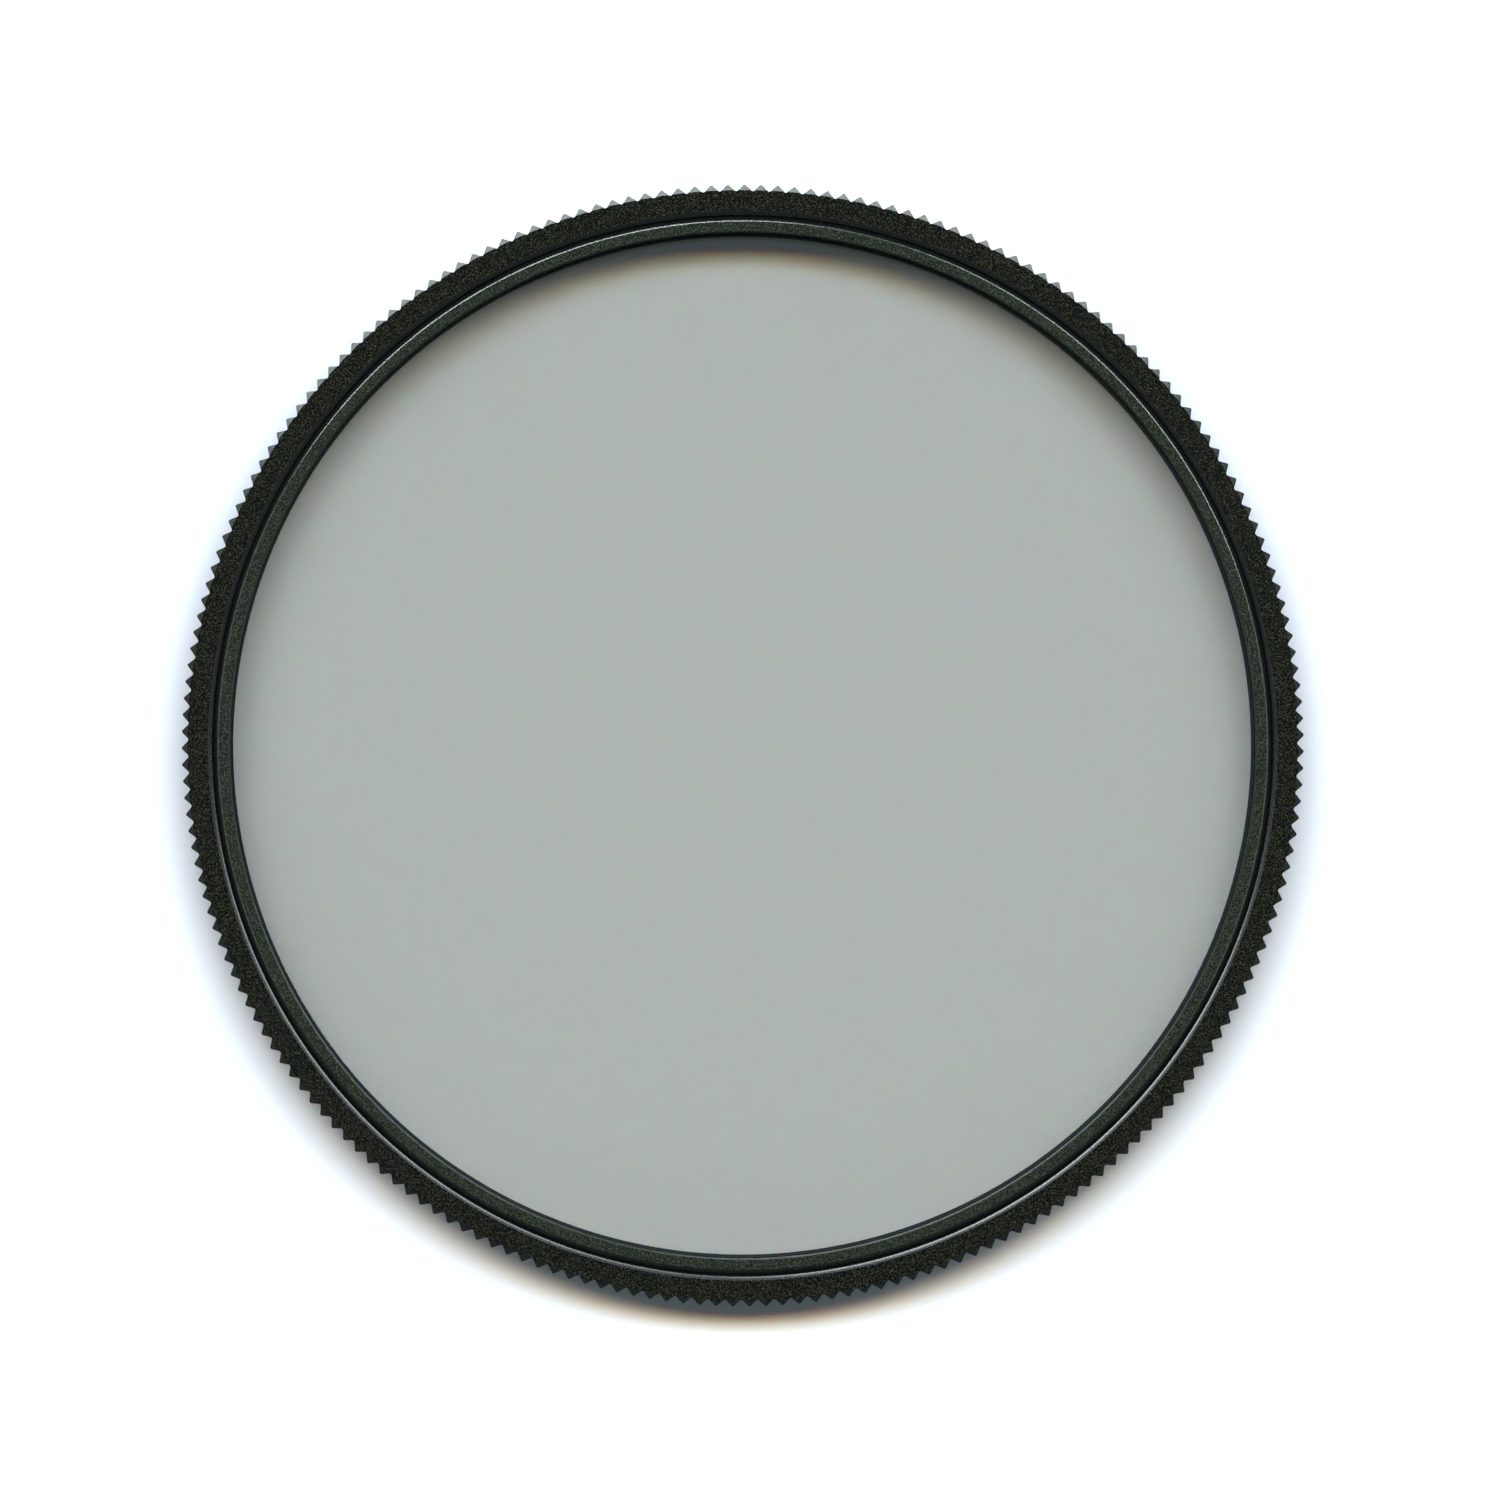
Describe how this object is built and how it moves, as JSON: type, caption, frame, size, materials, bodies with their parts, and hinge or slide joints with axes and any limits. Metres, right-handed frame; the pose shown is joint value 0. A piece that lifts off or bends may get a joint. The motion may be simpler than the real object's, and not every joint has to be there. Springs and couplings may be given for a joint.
{
  "type": "circular polarizing filter",
  "caption": "Slim round filter: a knurled ring turns on a threaded mount ring and carries cemented glass with a polarizing and a quarter-wave film inside.",
  "frame": {"origin": "on the optical axis, in the plane of the rear end of the lens thread, which is the face the filter lies on when put down", "axes": "+Z along the optical axis from the lens towards the subject, so the filter lies thread down; +Y is up in the picture, +X to its right"},
  "size_m": [0.081, 0.081, 0.0086],
  "materials": {
    "mount_metal": "satin black anodised, turned",
    "ring_metal": "fine matt black anodised with bright bevels",
    "retainer_metal": "fine matt black anodised, slightly lighter and greener",
    "wire_steel": "drawn spring wire",
    "glass": "polished, clear",
    "retarder": "clear stretched film",
    "polarizer": "neutral grey polarizing film"
  },
  "bodies": {
    "mount": {"mount_ring": "mount_metal", "spring_wire": "wire_steel"},
    "rotor": {"rotating_ring": "ring_metal", "rear_glass": "glass", "retarder_film": "retarder", "polarizing_film": "polarizer", "front_glass": "glass", "retaining_ring": "retainer_metal"}
  },
  "joints": [
    {"name": "polarizer_turn", "type": "hinge", "parent": "mount", "child": "rotor", "pos_m": [0, 0, 0.0045], "axis": [0, 0, 1], "continuous": true}
  ]
}
